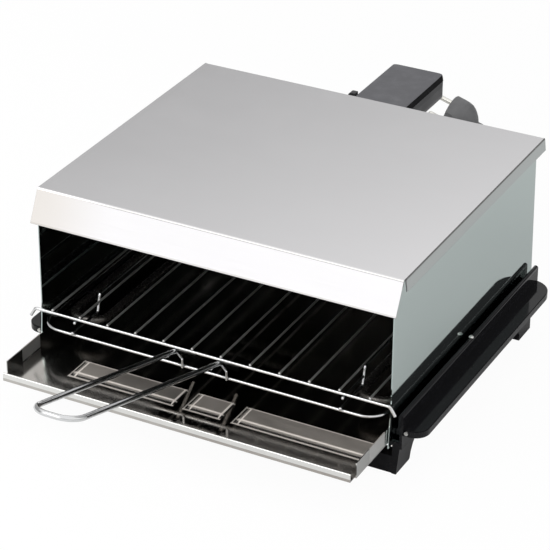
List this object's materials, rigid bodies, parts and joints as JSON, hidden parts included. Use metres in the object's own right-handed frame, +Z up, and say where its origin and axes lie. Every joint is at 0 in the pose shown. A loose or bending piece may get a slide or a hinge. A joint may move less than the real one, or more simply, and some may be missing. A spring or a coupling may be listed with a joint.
{
  "type": "sandwich maker",
  "caption": "Open-front counter grill toaster: a polished steel hood on black side handles, with a long-handled wire rack that slides out over a drip tray.",
  "frame": {"origin": "on the table, under the middle of the object's box without its lead (from the front of the rack's handle to the back of the terminal box)", "axes": "+Z up, +X to the right of a person who faces the open front, +Y to the back, where the terminal box and the lead are"},
  "size_m": [0.3592, 0.8102, 0.1715],
  "materials": {
    "hood_steel": "polished sheet",
    "inner_steel": "polished, heat-darkened sheet",
    "tray_steel": "polished sheet",
    "wire_chrome": "bright plated wire",
    "heater_sheath": "dull heater sheath",
    "black_bakelite": "glossy black moulding",
    "grey_box": "matte dark grey moulding",
    "fastener_zinc": "plated screws, studs and pins",
    "ceramic_white": "unglazed ceramic",
    "lead_black": "satin black sheath",
    "plug_black": "satin black moulding"
  },
  "bodies": {
    "base": {"top_cover": "hood_steel", "ceiling_panel": "inner_steel", "left_wall": "hood_steel", "right_wall": "hood_steel", "rear_wall": "inner_steel", "cover_screws": "fastener_zinc", "left_wing": "black_bakelite", "right_wing": "black_bakelite", "wing_screws": "fastener_zinc", "wing_studs": "fastener_zinc", "front_bar": "black_bakelite", "rear_bar": "black_bakelite", "left_rack_rail": "inner_steel", "right_rack_rail": "inner_steel", "left_tray_rail": "inner_steel", "right_tray_rail": "inner_steel", "lower_heater": "heater_sheath", "upper_heater": "heater_sheath", "lower_clips": "inner_steel", "upper_clips": "inner_steel", "heater_bushes": "ceramic_white", "heater_pins": "fastener_zinc", "wire_channel": "grey_box", "terminal_block": "ceramic_white", "box_flange": "grey_box", "box_base": "grey_box", "box_lid": "grey_box", "box_screws": "fastener_zinc", "lead_sleeve": "lead_black", "power_lead": "lead_black", "lead_coil": "lead_black", "lead_end": "lead_black", "plug_body": "plug_black", "plug_pins": "fastener_zinc"},
    "tray": {"drip_tray": "tray_steel"},
    "rack": {"rack_frame": "wire_chrome", "front_wire": "wire_chrome", "rear_wire": "wire_chrome", "rack_bars": "wire_chrome", "rack_links": "wire_chrome", "left_guide": "wire_chrome", "right_guide": "wire_chrome", "rack_handle": "wire_chrome", "handle_struts": "wire_chrome"}
  },
  "joints": [
    {"name": "tray_slide", "type": "slide", "parent": "base", "child": "tray", "axis": [0, -1, 0], "range_m": [-0.057, 0.15]},
    {"name": "rack_slide", "type": "slide", "parent": "base", "child": "rack", "axis": [0, -1, 0], "range_m": [0, 0.16]}
  ]
}
